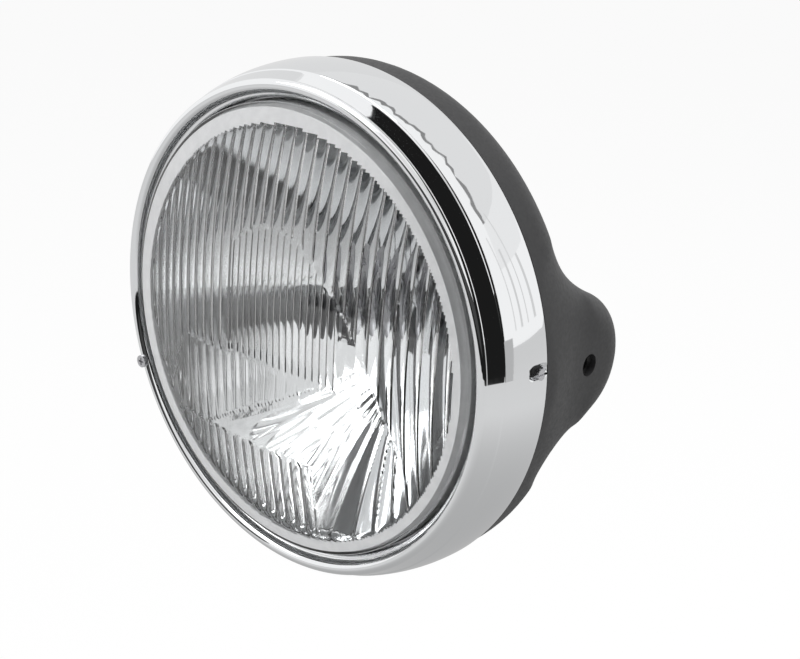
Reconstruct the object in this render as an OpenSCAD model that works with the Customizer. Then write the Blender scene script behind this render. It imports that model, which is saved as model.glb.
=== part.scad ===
// Round motorcycle headlight, 7 inch class, with a chrome rim and two threaded side bosses.
// The lamp looks along -Y. The origin is on the mounting axis, half way between the side bosses.
// d is the distance behind the plane of the rim's front bead, along the lamp's own axis.

/* [Mounting] */
// Distance from the rim's front bead plane back to the mounting axis
axis_back = 57; // [52:1:62]
// How far each boss's outer face lies inside the shell's edge
boss_inset = 3.5; // [2:0.1:6]
// Diameter of each side boss
boss_d = 50.8; // [46:0.2:54]
// Rounding of each boss's outer edge
boss_round = 11.5; // [9:0.5:14]
// How far forwards of the mounting axis each boss starts to widen
boss_reach = 22; // [16:1:24]
// How far the widened front of each boss spreads up and down
boss_spread = 10.6; // [6:0.2:14]
// How much lower the widened front of each boss is than its outer face
boss_slant = 2.4; // [1:0.2:4]
// Thread size of the mounting bolts
bolt_d = 8; // [6:1:10]
// Length of each threaded insert
insert_l = 22; // [14:1:26]
// Outer diameter of each threaded insert
insert_d = 15; // [13:1:18]

/* [Shell] */
// How much smaller in radius the shell's edge is than the rim's rear edge
shell_inset = 0.7; // [0.3:0.1:1.5]
// Wall of the shell
shell_wall = 2.4; // [1.6:0.1:3]
// Distance from the middle of the reflector back to the shell's back
back_room = 40.75; // [37:0.25:50]
// Where the shell's straight edge ends and its shoulder starts, behind the bead plane
shoulder_d = 35; // [32:1:37]
// Radius of the shell's shoulder
shoulder_r = 14; // [8:1:20]
// Slope of the bowl behind the shoulder, from the lamp's axis
bowl_angle = 41; // [38:1:43]
// Slope of the bowl where it turns into its back
bowl_back_angle = 49; // [47:1:52]
// Radius where the bowl turns into its flat back
back_round = 26; // [18:1:32]
// Diameter of the harness hole in the back
inlet_d = 22; // [16:1:26]
// Bore of the harness grommet
inlet_bore_d = 12; // [8:1:14]

/* [Rim] */
// How far the rim's front bead stands outside the lens's flange
bead_margin = 5.2; // [4.8:0.1:6]
// Radius of the front bead's round
bead_r = 2.4; // [2.2:0.1:2.6]
// How far the rim widens from its bead to its rear edge
rim_flare = 5.5; // [4.5:0.1:7]
// Depth of the rim behind the bead plane
rim_depth = 25.3; // [24:0.1:27]
// Sheet thickness of the rim
rim_sheet = 1; // [0.7:0.1:1.1]
// Gap between the rim's inner lip and the front of the lens
lip_gap = 1.2; // [0.8:0.1:1.6]
// Angle of the rim's fixing screws above the mounting axis
rim_screw_angle = 4; // [0:1:10]
// Diameter of the rim's fixing screws
rim_screw_d = 3; // [2.5:0.5:3.5]

/* [Light unit] */
// Diameter of the lens's clamped flange, which sets the size of the whole lamp
lens_flange_d = 178; // [160:1:200]
// How far the flange stands out from the front of the lens
lens_step = 3; // [2.8:0.1:3.5]
// How far the middle of the lens stands in front of the bead plane
lens_crown = 13; // [11:0.5:15]
// Thickness of the lens glass
lens_t = 3.5; // [3:0.1:4.5]
// Width of the smooth margin round the flutes
flute_margin = 9; // [7:0.5:16]
// Pitch of the broad flutes
flute_pitch = 5.2; // [4:0.1:8]
// Pitch of the fine flutes in the middle
fine_pitch = 3; // [2.5:0.1:4]
// Height of the flutes on the back of the glass
flute_h = 0.9; // [0.5:0.1:1.2]
// Focal length of the reflector
focal_l = 27; // [26:0.5:28]
// Sheet thickness of the reflector
mirror_sheet = 1; // [0.8:0.1:1.2]
// Diameter of the bulb opening
bulb_hole_d = 38; // [36:1:40]
// Thickness of the seal between lens and reflector
seal_t = 0.8; // [0.5:0.1:1.2]
// Front face of the clamp ring, behind the bead plane
clamp_front = 6.5; // [6.4:0.1:7]
// Sheet thickness of the clamp ring
clamp_t = 1.2; // [1:0.1:1.4]
// Thickness of the carrier ring
carrier_t = 2; // [1.8:0.1:2.4]
// Diameter of the clamp screws
clamp_screw_d = 3; // [2.5:0.1:3]

/* [Aiming] */
// Diameter of the top and bottom pivot pins
pivot_d = 4; // [3:0.5:4.5]
// Angle of the adjuster below the mounting axis
adjuster_angle = 22; // [16:1:30]
// Diameter of the adjuster screw
adjuster_d = 3; // [2.5:0.1:3]
// Length of the adjuster screw's thread
adjuster_l = 25; // [22:1:27]

/* [Bulbs] */
// Diameter of the bulb's glass
bulb_d = 17; // [15:0.5:18]
// Length of the bulb in front of its flange
bulb_l = 56; // [50:1:60]
// Diameter of the bulb's locating flange
bulb_flange_d = 43; // [41:1:44]
// How far the pilot lamp lies below the lamp's axis
pilot_drop = 45; // [40:1:48]
// Diameter of the pilot lamp's hole
pilot_hole_d = 13; // [11:0.5:14]

/* [Hidden] */
$fn = 96;

eps = 0.01;
run_gap = 0.05;
cross_w = 0.7;
cross_l = 3.2;

// Rim
lens_flange_r = lens_flange_d / 2;
lens_r = lens_flange_r - lens_step;
lip_r = lens_r + lip_gap;
bead_edge = lens_flange_r + bead_margin;
bead_mid = bead_edge - bead_r;
bead_mid_d = 0.3;
band_start = 3.6;
band_foot = bead_edge + 0.4;
lip_back = 3.2;

// Shell
rim_r = bead_edge + rim_flare;
shell_r = rim_r - shell_inset;
flange_gap = 0.2;
flange_start = rim_depth - 6.3;
flange_wall = 1.6;
seam = 0.5;
boss_r = boss_d / 2;
boss_flare = 1.6;
boss_root = 40;
boss_x = shell_r - boss_inset;
insert_wall = 2.5;
bolt_gap = 0.2;
grommet_lip_t = 2;

// Light unit, front to back
lens_flange_t = 3;
flute_share = 0.6;
flute_split = 3;
lens_seat = clamp_front + clamp_t;
seal_seat = lens_seat + lens_flange_t;
mirror_seat = seal_seat + seal_t;
carrier_seat = mirror_seat + mirror_sheet;
carrier_back = carrier_seat + carrier_t;
carrier_wall = 1.4;
carrier_gap = 0.6;
carrier_r = lens_flange_r + carrier_gap + carrier_wall;
mirror_r = lens_r - lens_t - 1.5;
vertex = carrier_seat + pow(mirror_r, 2) / (4 * focal_l);
neck_r = bulb_hole_d / 2;
neck_wall = 1.5;
neck_reach = 3;
bulb_seat = vertex + neck_reach;
shell_back = vertex + back_room;

// Clamp ears
ear_circle = carrier_r;
ear_r = 2.4;
ear_split = seal_seat - 1;
ear_angles = [40, 140, 230, 320];
clamp_head_r = clamp_screw_d / 2 + 1.1;
clamp_head_t = 1.8;

// Pivots, which share the middle plane of the carrier ring
pivot_plane = carrier_seat + carrier_t / 2;
pivot_ear_end = carrier_r + 3.5;
pivot_tab_start = pivot_ear_end + 0.5;
pivot_pin_in = lens_flange_r + carrier_gap + 1;
pivot_pin_out = pivot_tab_start + 1.3;
tab_wall = 2.4;
pivot_ear_wall = 1.5;

// Adjuster
adjuster_circle = bead_mid + 0.3;
adjuster_spot = -1.5;
pad_back = 6.2;
pad_r = adjuster_d / 2 + 1.1;
adjuster_head_r = adjuster_d / 2 + 1.1;
adjuster_head_t = 1.8;
nut_hub_r = adjuster_d / 2 + 0.85;
nut_bore_r = adjuster_d / 2 + 0.2;
nut_front = carrier_seat - 0.5;
nut_flange_r = nut_hub_r + 0.65;
nut_flange_t = 1.5;
adjuster_ear_r = nut_hub_r + 0.6;
spring_wire = 0.25;
spring_r = adjuster_d / 2 + 0.55;
spring_turns = 4;

// Rim screws
screw_plane = rim_depth - 3.4;
screw_head_r = rim_screw_d / 2 + 0.5;
screw_head_t = 1;
slot_w = 0.6;
rim_screw_l = 8;
pocket_floor = 0.6;
pocket_long = 2.4;
nut_w = 6.8;
nut_reach = 12;
nut_t = 2.4;

// Bulb
collar_r = 11;
collar_l = 9;
bulb_wall = 1;
flange_t = 1.6;
cap_r = 14;
cap_l = 9;
blade_w = 8;
blade_t = 0.8;
blade_l = 15;
blade_circle = 8;
clip_wire = 0.8;
clip_leg_x = 6;
clip_leg_l = 5.5;
wire_r = 0.5;
filament_r = 0.35;
coil_r = 0.9;
coil_l = 5;
shield_r = 4.6;
boot_wall = 2.2;
boot_mouth_r = neck_r + neck_wall;
boot_end_r = 17;
boot_l = 19;
boot_waist = 12;

// Pilot lamp
pilot_r = pilot_hole_d / 2;
pilot_at = vertex - pow(pilot_drop, 2) / (4 * focal_l);
pilot_tube_l = 9;
pilot_seat = pilot_at + pilot_tube_l;
pilot_glass_r = 4.5;
pilot_lip_t = 3;
pilot_tail = 12;
pilot_reach = 12;

function arc(cx, cy, r, a0, a1, n) = [for (i = [0:n]) let (a = a0 + (a1 - a0) * i / n)
    [cx + r * cos(a), cy + r * sin(a)]];
function band_r(d) = band_foot + (rim_r - band_foot) * sin(90 * (d - band_start) / (rim_depth - band_start));
function dome(r) = -lens_crown + 0.0012 * pow(r, 2) + 4.5e-8 * pow(r, 4);
function mirror_d(r) = vertex - pow(r, 2) / (4 * focal_l);
function flip(points) = [for (i = [len(points) - 1:-1:0]) points[i]];

// Turns a profile of [radius, d] points about the lamp's axis
module turned(points) {
    translate([0, -axis_back, 0]) rotate([-90, 0, 0]) rotate_extrude($fn = 180) polygon(points);
}

// Puts its children at [x, z], with their own z axis along the lamp's axis, starting at d
module along(d, x = 0, z = 0) {
    translate([x, d - axis_back, z]) rotate([-90, 0, 0]) children();
}

// Puts its children at a given angle about the lamp's axis, with their own z axis pointing outwards
module outward(angle, d) {
    translate([0, d - axis_back, 0]) rotate([0, 90 - angle, 0]) children();
}

module rod(r, from, to, x = 0, z = 0) {
    along(from, x, z) cylinder(r = r, h = to - from);
}

module tube(r_out, r_in, from, to, x = 0, z = 0) {
    difference() {
        rod(r_out, from, to, x, z);
        rod(r_in, from - 1, to + 1, x, z);
    }
}

// Outer skin of the rim from its rear edge to the inner lip
rim_hem = 1.2;
rim_outside = concat(
    [[rim_r - 0.5, rim_depth]],
    [for (i = [0:14]) let (d = rim_depth - rim_hem - (rim_depth - rim_hem - band_start) * i / 14) [band_r(d), d]],
    [[bead_edge - 0.5, band_start - 0.9]],
    arc(bead_mid, bead_mid_d, bead_r, 0, -180, 16),
    [[bead_mid - bead_r, 1.1], [bead_mid - bead_r - 0.5, 1.8], [lip_r + 0.6, 2.1], [lip_r, 2.6],
        [lip_r, lip_back]]);
rim_inside = concat(
    [[rim_r - 0.5 - rim_sheet, rim_depth]],
    [for (i = [0:14]) let (d = rim_depth - rim_hem - (rim_depth - rim_hem - band_start) * i / 14)
        [band_r(d) - rim_sheet, d + 0.3 * i / 14]],
    [[bead_edge - 0.4 - rim_sheet, band_start - 0.5]],
    arc(bead_mid, bead_mid_d, bead_r - rim_sheet, 0, -180, 16),
    [[bead_mid - bead_r + rim_sheet, 1.5], [bead_mid - bead_r + rim_sheet - 0.7, 2.7],
        [lip_r + rim_sheet, 2.9], [lip_r + rim_sheet, lip_back]]);

// Cross slots in a screw's head
module cross_recess(from, depth) {
    for (turn = [0, 90]) rotate([0, 0, turn]) translate([-cross_w / 2, -cross_l / 2, from])
        cube([cross_w, cross_l, depth]);
}

// Everything inside the rim's outer skin, to trim what is welded to it
module rim_filled() {
    turned(concat([[0, rim_depth]],
        [for (p = rim_outside) [p[0] - rim_sheet / 2, p[1] + rim_sheet / 4]], [[0, pad_back]]));
}

module at_rim_screws() {
    for (angle = [rim_screw_angle, 180 - rim_screw_angle]) outward(angle, screw_plane) children();
}

module pocket(w, from, to) {
    for (s = [-1, 1]) translate([0, s * pocket_long / 2, from]) cylinder(r = w, h = to - from);
    translate([-w, -pocket_long / 2, from]) cube([2 * w, pocket_long, to - from]);
}

module at_adjuster(d) {
    along(d, -adjuster_circle * cos(adjuster_angle), -adjuster_circle * sin(adjuster_angle)) children();
}

module rim() {
    floor_r = rim_r - rim_sheet - pocket_floor;
    color([0.82, 0.83, 0.85]) difference() {
        union() {
            turned(concat(rim_outside, flip(rim_inside)));
            intersection() {
                rim_filled();
                union() {
                    for (angle = [90, -90]) outward(angle, pivot_plane) translate([0, 0, pivot_tab_start])
                        cylinder(r = pivot_d / 2 + tab_wall, h = rim_r - pivot_tab_start);
                    at_adjuster(adjuster_spot - 1) cylinder(r = pad_r, h = pad_back - adjuster_spot + 1);
                }
            }
            intersection() {
                rod(rim_r, 0, rim_depth);
                at_rim_screws() pocket(screw_head_r + 1, floor_r, rim_r - rim_sheet / 2);
            }
        }
        for (angle = [90, -90]) outward(angle, pivot_plane) cylinder(r = pivot_d / 2, h = pivot_pin_out);
        at_adjuster(adjuster_spot - 5) cylinder(r = adjuster_head_r + 0.2, h = 5);
        at_adjuster(-5) cylinder(r = adjuster_d / 2 + run_gap, h = 15);
        at_rim_screws() pocket(screw_head_r + 0.2, floor_r + pocket_floor, rim_r + 5);
        at_rim_screws() translate([0, 0, floor_r - 5]) cylinder(r = rim_screw_d / 2, h = 10);
    }
}

module rim_screws() {
    seat = rim_r - rim_sheet;
    color([0.6, 0.6, 0.62]) at_rim_screws() difference() {
        union() {
            translate([0, 0, seat - rim_screw_l]) cylinder(r = rim_screw_d / 2, h = rim_screw_l);
            translate([0, 0, seat]) cylinder(r = screw_head_r, h = screw_head_t);
        }
        translate([-slot_w / 2, -2 * screw_head_r, seat + screw_head_t - slot_w]) cube([slot_w, 4 * screw_head_r, 2]);
    }
}

// The flange slides into the rim, and the clip nuts sit inside the flange
flange_r = band_r(flange_start) - rim_sheet - flange_gap;

module rim_clip_nuts() {
    nut_r = flange_r - flange_wall;
    color([0.45, 0.45, 0.47]) difference() {
        intersection() {
            turned([[nut_r - nut_t, 0], [nut_r, 0], [nut_r, rim_depth], [nut_r - nut_t, rim_depth]]);
            at_rim_screws() translate([-nut_w / 2, -nut_w / 2, flange_r - nut_reach]) cube([nut_w, nut_w, nut_reach]);
        }
        at_rim_screws() cylinder(r = rim_screw_d / 2, h = 2 * rim_r);
    }
}

// Bowl from the shoulder to the flat back, for a wall offset w inside the outer surface
function bowl(w) = let (
    crest = [shell_r - shoulder_r, shoulder_d],
    turn = bowl_back_angle - bowl_angle,
    s = shoulder_r - w,
    b = back_round - w,
    reach = shell_back - shoulder_d - shoulder_r * sin(bowl_angle) - back_round * (1 - sin(bowl_back_angle)),
    long_r = reach / (sin(bowl_back_angle) - sin(bowl_angle)),
    hub = crest + (shoulder_r - long_r) * [cos(bowl_angle), sin(bowl_angle)],
    tail = hub + (long_r - back_round) * [cos(bowl_back_angle), sin(bowl_back_angle)])
    concat(arc(crest[0], crest[1], s, 0, bowl_angle, 8),
        [for (i = [1:6]) let (a = bowl_angle + turn * i / 6) hub + (long_r - w) * [cos(a), sin(a)]],
        [for (i = [1:8]) let (a = bowl_back_angle + (90 - bowl_back_angle) * i / 8) tail + b * [cos(a), sin(a)]]);

// Round puck about an axis parallel to X at [y, z], with a rounded edge, for a wall offset w
module puck(side, top, y, z, r, edge, w) {
    e = edge - w;
    translate([0, y, z]) rotate([0, side * 90, 0]) rotate_extrude($fn = 40)
        polygon(concat([[0, boss_root], [r - w, boss_root]], arc(r - edge, top - edge, e, 0, 90, 5), [[0, top - w]]));
}

// Side boss, round behind the mounting axis and widening forwards into the shell's edge
module side_boss(side, w) {
    step = rim_depth + seam;
    intersection() {
        hull() {
            puck(side, boss_x, 0, 0, boss_r, boss_round, w);
            for (up = [-1, 1])
                puck(side, boss_x - boss_slant, -boss_reach, up * boss_spread, boss_r + boss_flare, boss_round - 3, w);
        }
        turned([[0, step - w], [shell_r - w, step - w], [shell_r - w, shell_back - w], [0, shell_back - w]]);
    }
}

module shell() {
    step = rim_depth + seam;
    color([0.27, 0.27, 0.28]) difference() {
        union() {
            difference() {
                union() {
                    turned(concat([[0, step], [shell_r, step]], bowl(0), [[0, shell_back]]));
                    for (side = [-1, 1]) side_boss(side, 0);
                }
                turned(concat([[0, step - 1], [shell_r - shell_wall, step - 1]], bowl(shell_wall),
                    [[0, shell_back - shell_wall]]));
                for (side = [-1, 1]) side_boss(side, shell_wall);
            }
            turned([[flange_r - flange_wall, flange_start], [flange_r, flange_start], [flange_r, step - 1],
                [shell_r - 1, step], [shell_r - 1, step + shell_wall], [flange_r - flange_wall, step + shell_wall]]);
            for (side = [-1, 1]) rotate([0, side * 90, 0]) translate([0, 0, boss_x - shell_wall - insert_l])
                cylinder(r = insert_d / 2 + insert_wall, h = insert_l + shell_wall / 2);
        }
        for (side = [-1, 1]) rotate([0, side * 90, 0]) {
            cylinder(r = bolt_d / 2 + bolt_gap, h = boss_x + 1);
            translate([0, 0, boss_x - shell_wall - insert_l - 1]) cylinder(r = insert_d / 2, h = insert_l + 1);
        }
        at_rim_screws() cylinder(r = rim_screw_d / 2 + run_gap, h = rim_r - 1);
        rod(inlet_d / 2, shell_back - 10, shell_back + 1);
    }
}

module mount_insert(side) {
    color([0.75, 0.66, 0.42]) rotate([0, side * 90, 0]) translate([0, 0, boss_x - shell_wall - insert_l])
        difference() {
            cylinder(r = insert_d / 2, h = insert_l);
            translate([0, 0, -1]) cylinder(r = bolt_d / 2, h = insert_l + 2);
        }
}
module mount_insert_right() mount_insert(1);
module mount_insert_left() mount_insert(-1);

module pivot_pin(angle) {
    color([0.7, 0.7, 0.72]) outward(angle, pivot_plane) translate([0, 0, pivot_pin_in])
        cylinder(r = pivot_d / 2, h = pivot_pin_out - pivot_pin_in);
}
module pivot_pin_top() pivot_pin(90);
module pivot_pin_bottom() pivot_pin(-90);

module harness_grommet() {
    lip = 3;
    inner = shell_back - shell_wall;
    color([0.12, 0.12, 0.12]) difference() {
        union() {
            rod(inlet_d / 2, inner - grommet_lip_t, shell_back + grommet_lip_t);
            rod(inlet_d / 2 + lip, shell_back, shell_back + grommet_lip_t);
            rod(inlet_d / 2 + lip / 2, inner - grommet_lip_t, inner);
        }
        rod(inlet_bore_d / 2, shell_back - 10, shell_back + 10);
    }
}

module adjuster_screw() {
    color([0.75, 0.75, 0.77]) at_adjuster(adjuster_spot) difference() {
        union() {
            cylinder(r = adjuster_d / 2, h = adjuster_l);
            translate([0, 0, -adjuster_head_t]) cylinder(r = adjuster_head_r, h = adjuster_head_t);
        }
        cross_recess(-adjuster_head_t - 1, 2);
    }
}

// A wire wound in a helix, with a ring of points for each step along it
module coil(r, wire, height, turns, sides = 8, steps = 16) {
    n = turns * steps;
    climb = height - 2 * wire;
    points = [for (i = [0:n], j = [0:sides - 1]) let (a = 360 * i / steps, b = 360 * j / sides)
        [(r + wire * cos(b)) * cos(a), (r + wire * cos(b)) * sin(a), wire + climb * i / n + wire * sin(b)]];
    skin = [for (i = [0:n - 1], j = [0:sides - 1]) let (k = (j + 1) % sides)
        [i * sides + j, i * sides + k, (i + 1) * sides + k, (i + 1) * sides + j]];
    polyhedron(points, concat([[for (j = [sides - 1:-1:0]) j]], skin, [[for (j = [0:sides - 1]) n * sides + j]]));
}

module adjuster_spring() {
    gap = 0.05;
    color([0.6, 0.6, 0.62]) at_adjuster(pad_back + gap)
        coil(spring_r, spring_wire, nut_front - pad_back - 2 * gap, spring_turns);
}

module adjuster_nut() {
    color([0.9, 0.9, 0.86]) at_adjuster(0) difference() {
        union() {
            translate([0, 0, nut_front]) cylinder(r = nut_hub_r, h = carrier_back - nut_front + nut_flange_t);
            translate([0, 0, carrier_back]) cylinder(r = nut_flange_r, h = nut_flange_t);
        }
        cylinder(r = nut_bore_r, h = 2 * carrier_back);
    }
}

// Flute ridges on the back of the glass, running along z
module flutes(pitch, x_from, x_to, z_from, z_to) {
    count = floor((x_to - x_from) / pitch);
    for (i = [0:count - 1]) translate([x_from + (i + 0.5) * pitch, 0, z_from])
        translate([-pitch * flute_share / 2, 0, 0]) cube([pitch * flute_share, 60, z_to - z_from]);
}

module lens() {
    field = lens_r - flute_margin;
    inner = lens_r - lens_t;
    color([0.85, 0.9, 0.92, 0.4]) {
        turned(concat(
            [for (i = [0:16]) let (r = (lens_r - 1.2) * i / 16) [r, dome(r)]],
            [[lens_r, dome(lens_r) + 1.2], [lens_r, lens_seat], [lens_flange_r, lens_seat],
                [lens_flange_r, seal_seat], [inner, seal_seat]],
            [for (i = [0:16]) let (r = inner * (1 - i / 16)) [r, dome(r) + lens_t]]));
        intersection() {
            turned(concat([for (i = [0:10]) let (r = field * i / 10) [r, dome(r) + lens_t - 0.3]],
                [for (i = [0:10]) let (r = field * (1 - i / 10)) [r, dome(r) + lens_t + flute_h]]));
            translate([0, -axis_back - lens_crown, 0]) {
                flutes(flute_pitch, -field, field, flute_split, field);
                flutes(fine_pitch, -field / 3, field / 3, -field, -flute_split);
                flutes(flute_pitch, -field, -field / 3 - 1, -field, -flute_split);
                flutes(flute_pitch, field / 3 + 1, field, -field, -flute_split);
            }
        }
    }
}

module lens_seal() {
    color([0.15, 0.15, 0.15]) tube(lens_flange_r - 0.5, lens_r - lens_t + 1, seal_seat, mirror_seat);
}

// Parabolic bowl with a flange, a bulb neck and a short tube for the pilot lamp
module reflector() {
    steps = 20;
    s = mirror_sheet;
    inside = [for (i = [0:steps]) let (r = mirror_r + (neck_r - mirror_r) * i / steps) [r, mirror_d(r)]];
    outside = [for (i = [0:steps]) let (r = neck_r + (mirror_r - neck_r) * i / steps) [r + s * 0.6, mirror_d(r) + s]];
    color([0.88, 0.89, 0.9]) difference() {
        union() {
            turned(concat([[lens_flange_r, mirror_seat], [mirror_r, mirror_seat]], inside,
                [[neck_r, bulb_seat], [neck_r + neck_wall, bulb_seat], [neck_r + neck_wall, mirror_d(neck_r) + s]],
                outside, [[mirror_r + s * 0.6, carrier_seat], [lens_flange_r, carrier_seat]]));
            rod(pilot_r + 1.5, pilot_at - 4, pilot_seat, 0, -pilot_drop);
        }
        intersection() {
            rod(pilot_r + 2, 0, pilot_seat, 0, -pilot_drop);
            turned(concat([[0, mirror_seat], [mirror_r, mirror_seat]], inside, [[0, mirror_d(neck_r)]]));
        }
        rod(pilot_r, 0, pilot_seat + 1, 0, -pilot_drop);
    }
}

module at_ears() {
    for (angle = ear_angles) along(0, ear_circle * cos(angle), ear_circle * sin(angle)) children();
}

module spring_relief() {
    at_adjuster(0) cylinder(r = pad_r + 0.4, h = nut_front);
}

module carrier_ring() {
    color([0.35, 0.35, 0.36]) difference() {
        union() {
            tube(carrier_r, mirror_r + 1.6, carrier_seat, carrier_back);
            tube(carrier_r, carrier_r - carrier_wall, lens_seat, carrier_seat + eps);
            at_ears() translate([0, 0, ear_split]) cylinder(r = ear_r, h = carrier_back - ear_split);
            for (angle = [90, -90]) outward(angle, pivot_plane) translate([0, 0, carrier_r - carrier_wall])
                cylinder(r = pivot_d / 2 + pivot_ear_wall, h = pivot_ear_end - carrier_r + carrier_wall);
            at_adjuster(carrier_seat) cylinder(r = adjuster_ear_r, h = carrier_t);
        }
        at_ears() cylinder(r = clamp_screw_d / 2 + run_gap, h = 30);
        at_ears() translate([0, 0, lens_seat - 1]) cylinder(r = ear_r + 0.1, h = ear_split - lens_seat + 1);
        for (angle = [90, -90]) outward(angle, pivot_plane) cylinder(r = pivot_d / 2 + run_gap, h = rim_r);
        at_adjuster(0) cylinder(r = nut_hub_r, h = 30);
        spring_relief();
        tube_inside();
    }
}

// The lens flange, its seal and the reflector flange fill this space
module tube_inside() {
    rod(lens_flange_r + carrier_gap, lens_seat - 1, carrier_seat);
}

module clamp_ring() {
    color([0.55, 0.55, 0.57]) difference() {
        union() {
            tube(carrier_r, lens_r + 0.6, clamp_front, lens_seat);
            difference() {
                at_ears() translate([0, 0, clamp_front]) cylinder(r = ear_r, h = ear_split - clamp_front);
                rod(lens_flange_r + carrier_gap, lens_seat, carrier_seat);
            }
        }
        at_ears() translate([0, 0, clamp_front + 0.6]) cylinder(r = clamp_screw_d / 2, h = 20);
        spring_relief();
    }
}

module clamp_screws() {
    color([0.7, 0.7, 0.72]) at_ears() difference() {
        union() {
            translate([0, 0, clamp_front + 0.6]) cylinder(r = clamp_screw_d / 2, h = carrier_back - clamp_front - 0.6);
            translate([0, 0, carrier_back]) cylinder(r = clamp_head_r, h = clamp_head_t);
        }
        cross_recess(carrier_back + clamp_head_t - 0.9, 2);
    }
}

module bulb_glass() {
    r = bulb_d / 2;
    tip = bulb_seat - bulb_l;
    foot = bulb_seat - collar_l + 2;
    color([0.95, 0.95, 0.95, 0.3]) turned(concat([[r - bulb_wall, foot], [r, foot]],
        [for (i = [0:10]) let (a = 9 * i) [r * cos(a), tip + r - r * sin(a)]],
        [for (i = [0:10]) let (a = 90 - 9 * i) [(r - bulb_wall) * cos(a), tip + r - (r - bulb_wall) * sin(a)]]));
}

module bulb_base() {
    color([0.72, 0.72, 0.74]) difference() {
        union() {
            rod(collar_r, bulb_seat - collar_l, bulb_seat + eps);
            rod(bulb_flange_d / 2, bulb_seat, bulb_seat + flange_t);
            rod(cap_r, bulb_seat + flange_t, bulb_seat + flange_t + cap_l);
        }
        rod(bulb_d / 2 + run_gap, bulb_seat - collar_l - 1, bulb_seat - collar_l + 2);
        rod(bulb_d / 2 - bulb_wall, bulb_seat - collar_l - 1, bulb_seat - 2);
    }
}

// Two filaments on wire posts, the dipped one above its shield
module bulb_filaments() {
    focus = vertex - focal_l;
    foot = bulb_seat - 2;
    post = 4;
    dip = focus - 6;
    main = focus + 3;
    color([0.5, 0.5, 0.52]) {
        rod(wire_r, focus - 7, foot, -post, 0);
        rod(wire_r, focus + 1, foot, post, -1);
        rod(coil_r, dip, dip + coil_l, 0, 1);
        rod(coil_r, main, main + coil_l, 0, -1);
        for (d = [dip, dip + coil_l - 0.5]) along(d, -post, 0) rotate([0, 90, 0]) cylinder(r = filament_r, h = post);
        for (d = [main + 0.5, main + coil_l - 0.5]) along(d, 0, -1) rotate([0, 90, 0])
            cylinder(r = filament_r, h = post);
        difference() {
            tube(shield_r, shield_r - 0.5, focus - 7, focus);
            translate([-10, focus - 8 - axis_back, 0]) cube([20, 12, 10]);
        }
    }
}

module bulb_terminals() {
    from = bulb_seat + flange_t + cap_l;
    color([0.8, 0.72, 0.5]) {
        for (side = [-1, 1]) translate([side * blade_circle - blade_t / 2, from - axis_back, -blade_w / 2])
            cube([blade_t, blade_l, blade_w]);
        translate([-blade_w / 2, from - axis_back, blade_circle - blade_t / 2]) cube([blade_w, blade_l, blade_t]);
    }
}

// Sprung wire ring that holds the bulb's flange against the neck
module bulb_clip() {
    ring_r = cap_r + 2.5;
    d = bulb_seat + flange_t + clip_wire;
    color([0.65, 0.65, 0.67]) {
        along(d) rotate_extrude() translate([ring_r, 0]) circle(r = clip_wire, $fn = 12);
        for (side = [-1, 1]) along(d, side * clip_leg_x, ring_r - 1.6) rotate([90, 0, 0])
            cylinder(r = clip_wire, h = clip_leg_l, $fn = 12);
    }
}

module bulb_boot() {
    r = boot_mouth_r;
    lip = bulb_seat - 4;
    w = boot_wall;
    back = bulb_seat + boot_l;
    waist = bulb_seat + boot_waist;
    slot_from = back - axis_back - boot_l / 2;
    chamber = bulb_flange_d / 2 + 0.8;
    color([0.13, 0.13, 0.13]) difference() {
        turned([[r, lip], [r + w, lip], [chamber + w, lip + 2], [chamber + w, bulb_seat + 5],
            [boot_end_r + w, waist], [boot_end_r, back], [0, back], [0, back - w],
            [boot_end_r - w, back - w], [boot_end_r, waist], [chamber, bulb_seat + 4],
            [chamber, bulb_seat], [r, bulb_seat]]);
        for (side = [-1, 1]) translate([side * blade_circle - blade_t / 2, slot_from, -blade_w / 2])
            cube([blade_t, boot_l, blade_w]);
        translate([-blade_w / 2, slot_from, blade_circle - blade_t / 2]) cube([blade_w, boot_l, blade_t]);
    }
}

module pilot_holder() {
    color([0.14, 0.14, 0.14]) difference() {
        union() {
            rod(pilot_r, pilot_at - 1, pilot_seat + eps, 0, -pilot_drop);
            rod(pilot_r + 2.5, pilot_seat, pilot_seat + pilot_lip_t, 0, -pilot_drop);
            rod(pilot_r - 0.5, pilot_seat + pilot_lip_t, pilot_seat + pilot_tail, 0, -pilot_drop);
        }
        rod(pilot_glass_r + run_gap, pilot_at - 2, pilot_seat - 2, 0, -pilot_drop);
    }
}

module pilot_bulb() {
    r = pilot_glass_r;
    tip = pilot_at - pilot_reach;
    color([0.95, 0.95, 0.95, 0.4]) translate([0, 0, -pilot_drop]) turned(concat([[0, pilot_seat - 2], [r, pilot_seat - 2]],
        [for (i = [0:8]) let (a = 90 * i / 8) [r * cos(a), tip + r - r * sin(a)]]));
}

shell();
mount_insert_right();
mount_insert_left();
rim();
rim_screws();
rim_clip_nuts();
pivot_pin_top();
pivot_pin_bottom();
harness_grommet();
adjuster_screw();
adjuster_spring();
adjuster_nut();
lens();
lens_seal();
reflector();
carrier_ring();
clamp_ring();
clamp_screws();
bulb_glass();
bulb_base();
bulb_filaments();
bulb_terminals();
bulb_clip();
bulb_boot();
pilot_holder();
pilot_bulb();
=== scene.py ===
import bpy
import bmesh
from math import sin, cos, pi, radians, floor, atan2, degrees, hypot
from mathutils import Vector, Matrix

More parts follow.
